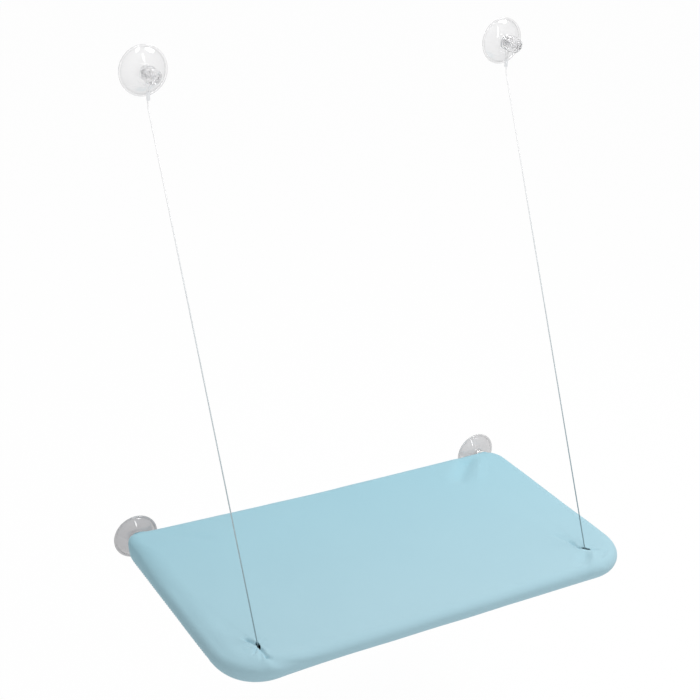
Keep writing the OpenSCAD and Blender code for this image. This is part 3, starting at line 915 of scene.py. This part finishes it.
def side_seam(x, y):
    """The seam below each side, with the small gathers that its stitches pull."""
    off = abs(x) - side_x / MM - 27
    there = smooth_step((y - front_y / MM - 30) / 20) * smooth_step((rear_y / MM - 14 - y) / 12)
    gathers = 0.28 * math.sin(math.tau * y / 8.5) * math.exp(-(off / 5) ** 2)
    return there * (gathers - 0.7 * math.exp(-(off / 1.3) ** 2))


def folds_height(x, y):
    total = sum(fold(x, y, *parts) for parts in FOLDS)
    total += pucker(x, y, (-238, -298), 6.5, 0.6, 0.6) + pucker(x, y, (238, -298), 7.0, 0.5, 2.4)
    total += 0.45 * noise.noise(Vector((x / 85, y / 60, 3.1)))
    total += 0.12 * noise.noise(Vector((x / 22, y / 18, 7.7)))
    return total + side_seam(x, y)


def slack(co):
    """Spare cloth: it stands up over the rear left corner, has an ear there, and hangs at the front left."""
    left = min(max(1 - (co.x + side_x) / 0.3, 0), 1) ** 1.3
    up = 6.2 * left * smooth_step((co.y - rear_y) / 0.13 + 1.05) * smooth_step((co.z / MM + 6) / 14)
    corner = math.exp(-(((co.x + 0.262) / 0.05) ** 2) - ((co.y + 0.322) / 0.04) ** 2)
    down = 3.6 * corner * smooth_step((3 - co.z / MM) / 12)
    ear = math.exp(-(((co.x + 0.284) / 0.017) ** 2) - ((co.y + 0.022) / 0.017) ** 2)
    ear *= smooth_step((co.z / MM + 4) / 12)
    return Vector((-4.0 * ear, 1.4 * ear, up - down + 2.4 * ear)) * MM


def frame_side(x, y):
    """How far outside the tubes' centreline a place is, and which way is out."""
    bend = FRONT_BEND if y < mid_y else REAR_BEND
    dx, dy = abs(x) - (side_x - bend), abs(y - mid_y) - (half_d - bend)
    if dx > 0 and dy > 0:
        reach = math.hypot(dx, dy)
        return reach - bend, Vector((math.copysign(dx, x), math.copysign(dy, y - mid_y), 0)) / reach
    if abs(x) - side_x > abs(y - mid_y) - half_d:
        return abs(x) - side_x, Vector((math.copysign(1, x), 0, 0))
    return abs(y - mid_y) - half_d, Vector((0, math.copysign(1, y - mid_y), 0))


def rest_on_tube(co, closest):
    """Pushes a point of the cloth out of a tube."""
    off, out = frame_side(co.x, co.y)
    reach = math.hypot(off, co.z)
    if reach < closest:
        co += (out * off + UP * co.z) * (closest / reach - 1)


def crease_cloth(bm):
    """Moves the cloth by its folds and its slack: straight up on the top, and outwards on the rolls."""
    bm.normal_update()
    spread = bm.verts.layers.float_vector["spread"]
    moves = []
    for vert in bm.verts:
        if vert.co.z < -roll_r * 0.98:
            continue
        plan = vert[spread] / MM
        off = frame_side(vert.co.x, vert.co.y)[0]
        inner = smooth_step((-off / roll_r - 0.6) / 0.4) if vert.co.z > 0 else 0
        upright = max(inner, smooth_step((vert.co.z / roll_r - 0.7) / 0.28))
        way = vert.normal.lerp(UP, upright)
        moves.append((vert, way.normalized() * folds_height(plan.x, plan.y) * MM))
    for vert, move in moves:
        vert.co += move
    for vert in bm.verts:
        vert.co += slack(vert.co)
        rest_on_tube(vert.co, roll_r - 0.35 * MM)


below = {f for f in bm.faces if lies_below(f)}
flat = bm.loops.layers.uv.new("flat")
spread = bm.verts.layers.float_vector["spread"]
for face in bm.faces:
    for corner in face.loops:
        corner[flat].uv = corner.vert.co.xy if face in below else corner.vert[spread].xy
crease_cloth(bm)
sleeve = finish_piece("stretched_cloth_sleeve", bm, cloth_finish, "deck")
thick = sleeve.modifiers.new("cloth_thickness", "SOLIDIFY")
thick.thickness = 0.9 * MM
thick.offset = -1
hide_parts("cloth_sleeve")
print("sleeve:", len(sleeve.data.polygons), "faces")

# %% [markdown]
# A seam is only convincing with its thread. Each stitch is a tiny arched bar that dips into the cloth at
# both ends. One is made, and it is copied along the seam.

# %% Stitches along the side seams
SEAM_AT = 24.6 * MM
thread_finish = hard_finish(
    "pale_blue_thread", (0.50, 0.72, 0.78), (0.40, 0.62, 0.69), 0.6, 0.8, colour_scale=300
)


def one_stitch(length, thick):
    """A small bar along X, a little higher in the middle."""
    bm = bmesh.new()
    bmesh.ops.create_cube(bm, size=1)
    bmesh.ops.scale(bm, verts=bm.verts, vec=(length, thick, thick))
    long_edges = [e for e in bm.edges if abs(e.verts[0].co.x - e.verts[1].co.x) > length / 2]
    bmesh.ops.subdivide_edges(bm, edges=long_edges, cuts=2)
    for vert in bm.verts:
        vert.co.z += thick * (0.5 if abs(vert.co.x) < length / 3 else -0.5)
    return keep_mesh("stitch", bm)


def sew(name, places, stitch, material):
    """Puts a copy of a stitch at each place, a matrix, and rides them on the deck as one piece."""
    bm = bmesh.new()
    for place in places:
        before = len(bm.verts)
        bm.from_mesh(stitch)
        bm.verts.ensure_lookup_table()
        bmesh.ops.transform(bm, matrix=place, verts=bm.verts[before:])
    return finish_piece(name, bm, material, "deck")


def on_roll(index, used_length):
    """A place on the roll at a length of cloth from the centreline, with the direction out of the cloth."""
    at, out = line[index]
    steps, used = sections[index]
    i = next(i for i, u in enumerate(used) if u > used_length)
    part = (used_length - used[i - 1]) / (used[i] - used[i - 1])
    (w0, z0), (w1, z1) = steps[i - 1], steps[i]
    offset = out * (w0 + (w1 - w0) * part) + UP * (z0 + (z1 - z0) * part)
    return at + offset, offset.normalized()


stitch = one_stitch(2.6 * MM, 0.45 * MM)
for side, sign in SIDES.items():
    places = []
    for index, (at, out) in enumerate(line):
        if out.x != sign or not front_y + 60 * MM < at.y < rear_y - 22 * MM:
            continue
        spot, up = on_roll(index, SEAM_AT)
        ahead = out.cross(UP)
        turn = Matrix((ahead, up.cross(ahead).normalized(), up)).transposed().to_4x4()
        places.append(Matrix.Translation(spot + up * 0.1 * MM) @ turn)
    seam = sew(f"{side}_side_stitches", places, stitch, thread_finish)
    print(seam.name, "has", len(places), "stitches")

# %% [markdown]
# ## The zip
# The zip below the rear edge lets the frame in. Its tapes are woven strips stitched to the sleeve. Each row
# of teeth is a nylon wire wound into coils, and the two rows lock into each other. One coil is a ring of
# wire, spun round a short axis, drawn a little wide and copied along the tape.

# %% The tape and its stitches
STITCH_PITCH = 3.4 * MM
TAPE_MARGIN = 3 * MM
tape_finish, tree, shader, coords = new_finish("woven_tape")
threads = place_group(tree, weave, coords, Threads_per_metre=2100.0)
dye = mottled(tree, coords, (0.33, 0.56, 0.64), (0.29, 0.51, 0.59), 40.0)
woven = multiply_colour(tree, threads.outputs["Gaps"], dye, (0.7, 0.74, 0.76))
tree.links.new(woven, shader.inputs["Base Color"])
set_inputs(shader, Roughness=0.78)
add_bump(tree, shader, threads.outputs["Height"], 0.5, 0.0003)
tape_low, tape_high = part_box("zip_tape")
upside_down = Matrix.Rotation(math.pi, 4, "X")
rows = [
    Matrix.Translation((tape_low.x + TAPE_MARGIN + k * STITCH_PITCH, y, tape_low.z)) @ upside_down
    for y in (tape_low.y + 1.4 * MM, tape_high.y - 1.4 * MM)
    for k in range(int((tape_high.x - tape_low.x - 2 * TAPE_MARGIN) / STITCH_PITCH))
]
sew("zip_tape_stitches", rows, stitch, thread_finish)
print("stitches on the tape:", len(rows))

# %% The coils
chain_low, chain_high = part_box("zip_chain")
coil_finish = hard_finish("nylon_coil", (0.34, 0.55, 0.62), (0.28, 0.48, 0.55), 0.3, 0.45, colour_scale=120)
PITCH = 2 * MM
WIRE = 0.36 * MM
COIL_R = 1.05 * MM


def one_coil():
    """A ring of wire, square to the zip and a little wider than it is high."""
    bm = bmesh.new()
    bmesh.ops.create_circle(bm, segments=6, radius=WIRE)
    bmesh.ops.translate(bm, verts=bm.verts, vec=(COIL_R, 0, 0))
    quarter_turn(bm, "X")
    spin_round(bm, 12)
    quarter_turn(bm, "Y")
    bmesh.ops.scale(bm, verts=bm.verts, vec=(1, 1.15, 1))
    return keep_mesh("coil", bm)


coil = one_coil()
mid_z = chain_high.z - 1.45 * MM
turns = int((chain_high.x - chain_low.x) / PITCH)
places = [
    Matrix.Translation((chain_low.x + (k + 0.5 + 0.5 * row) * PITCH, ZIP_Y + (0.85 - 1.7 * row) * MM, mid_z))
    @ Matrix.Rotation(math.radians(10 - 20 * row), 4, "Z")
    for row in (0, 1)
    for k in range(turns - row)
]
coils = sew("zip_coils", places, coil, coil_finish)
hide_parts("zip_chain")
print("coils:", len(places), "in", len(coils.data.polygons), "faces")

# %% [markdown]
# ## The carried-over solids
# The tubes, corners, studs, inserts, screws, knobs and stops and the zip's metal and tape are already the
# right shape, so they stay and only get their finishes.

# %% Finishes for the solids
zip_metal = metals["cast_zinc_zip"]
aluminium = metals["pressed_aluminium"]
FINISHES = {
    "stud": metals["zinc_stud"], "knob": knob_finish, "ferrule": aluminium, "cable_stop": aluminium,
    "washer": metals["zinc_washer"], "tube": tube_finish, "corner": corner_finish,
    "insert": metals["turned_brass"], "screws": metals["zinc_screw"], "end_stops": zip_metal,
    "slider": zip_metal, "pull": zip_metal, "tape": tape_finish,
}
for name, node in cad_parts.items():
    for ending, finish in FINISHES.items():
        if name.endswith(ending):
            node.data.materials.clear()
            node.data.materials.append(finish)
print("solids with a finish:", sum(name.endswith(tuple(FINISHES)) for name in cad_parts))

# %% [markdown]
# ## The floor and the light
# The photograph is cut out on white. Here a pale floor lies below the perch, and shows as white to the
# camera with a little of the perch's shadow left. From below it lets the view through, so that the perch's
# underside can be looked at. A wide lamp above and to the right gives the soft shading on the cloth's left
# roll, a tall narrow one in front draws a streak on each cup, and an even sky fills the rest.

# %% The sky
SKY_STRENGTH = 0.56


def seen_rays(tree):
    """One for rays from the camera, from a mirror or through a clear wall, and nothing for the others."""
    rays = tree.nodes.new("ShaderNodeLightPath").outputs
    bounced = math_node(tree, "MAXIMUM", rays["Is Glossy Ray"], rays["Is Transmission Ray"])
    return math_node(tree, "MAXIMUM", rays["Is Camera Ray"], bounced)


def mix_shaders(tree, share, first, second):
    """Goes from the first shader to the second as the share goes from 0 to 1."""
    node = tree.nodes.new("ShaderNodeMixShader")
    for i, source in enumerate((share, first, second)):
        tree.links.new(source, node.inputs[i])
    return node.outputs[0]


def even_sky(tree, strength):
    node = tree.nodes.new("ShaderNodeBackground")
    set_inputs(node, Color=(1, 1, 1, 1), Strength=strength)
    return node.outputs[0]


world = bpy.data.worlds.new("sky")
bpy.context.scene.world = world
world.use_nodes = True
tree = world.node_tree
tree.nodes.clear()
sky = mix_shaders(tree, seen_rays(tree), even_sky(tree, SKY_STRENGTH), even_sky(tree, 1.0))
tree.links.new(sky, tree.nodes.new("ShaderNodeOutputWorld").inputs[0])
print("sky strength:", SKY_STRENGTH)

# %% The floor
FLOOR_Z = -0.32
FLOOR_WHITE = 0.97
floor_finish = bpy.data.materials.new("pale_floor")
floor_finish.use_nodes = True
tree = floor_finish.node_tree
shader = tree.nodes["Principled BSDF"]
set_inputs(shader, Base_Color=(0.95, 0.95, 0.95, 1), Roughness=0.9)
glow = tree.nodes.new("ShaderNodeEmission")
set_inputs(glow, Color=(1, 1, 1, 1))
share = math_node(tree, "MULTIPLY", seen_rays(tree), FLOOR_WHITE)
above = mix_shaders(tree, share, shader.outputs[0], glow.outputs[0])
from_below = tree.nodes.new("ShaderNodeNewGeometry").outputs["Backfacing"]
clear = tree.nodes.new("ShaderNodeBsdfTransparent").outputs[0]
both_sides = mix_shaders(tree, from_below, above, clear)
tree.links.new(both_sides, tree.nodes["Material Output"].inputs[0])
bm = bmesh.new()
bmesh.ops.create_grid(bm, x_segments=4, y_segments=4, size=6)
bmesh.ops.translate(bm, verts=bm.verts, vec=(0, 0, FLOOR_Z))
mesh = keep_mesh("floor", bm)
mesh.materials.append(floor_finish)
floor = add_object("floor", mesh)
print("floor at", FLOOR_Z, "m")

# %% Lamps and view


def lamp(name, place, aim, wide, tall, power):
    """An area lamp aimed at a point, with its size in metres and its power in watts."""
    data = bpy.data.lights.new(name, "AREA")
    data.shape = "ELLIPSE" if wide == tall else "RECTANGLE"
    data.size = wide
    data.size_y = tall
    data.energy = power
    lamp_object = add_object(name, data)
    lamp_object.location = place
    lamp_object.rotation_euler = (Vector(aim) - Vector(place)).to_track_quat("-Z", "Y").to_euler()


lamp("lamp_above", (0.9, -0.1, 1.9), (0, -0.2, 0), 1.0, 1.0, 23)
lamp("lamp_front", (0.25, -1.75, 1.45), (0, -0.1, 0.1), 0.16, 1.7, 6)
bpy.context.scene.view_settings.view_transform = "Standard"
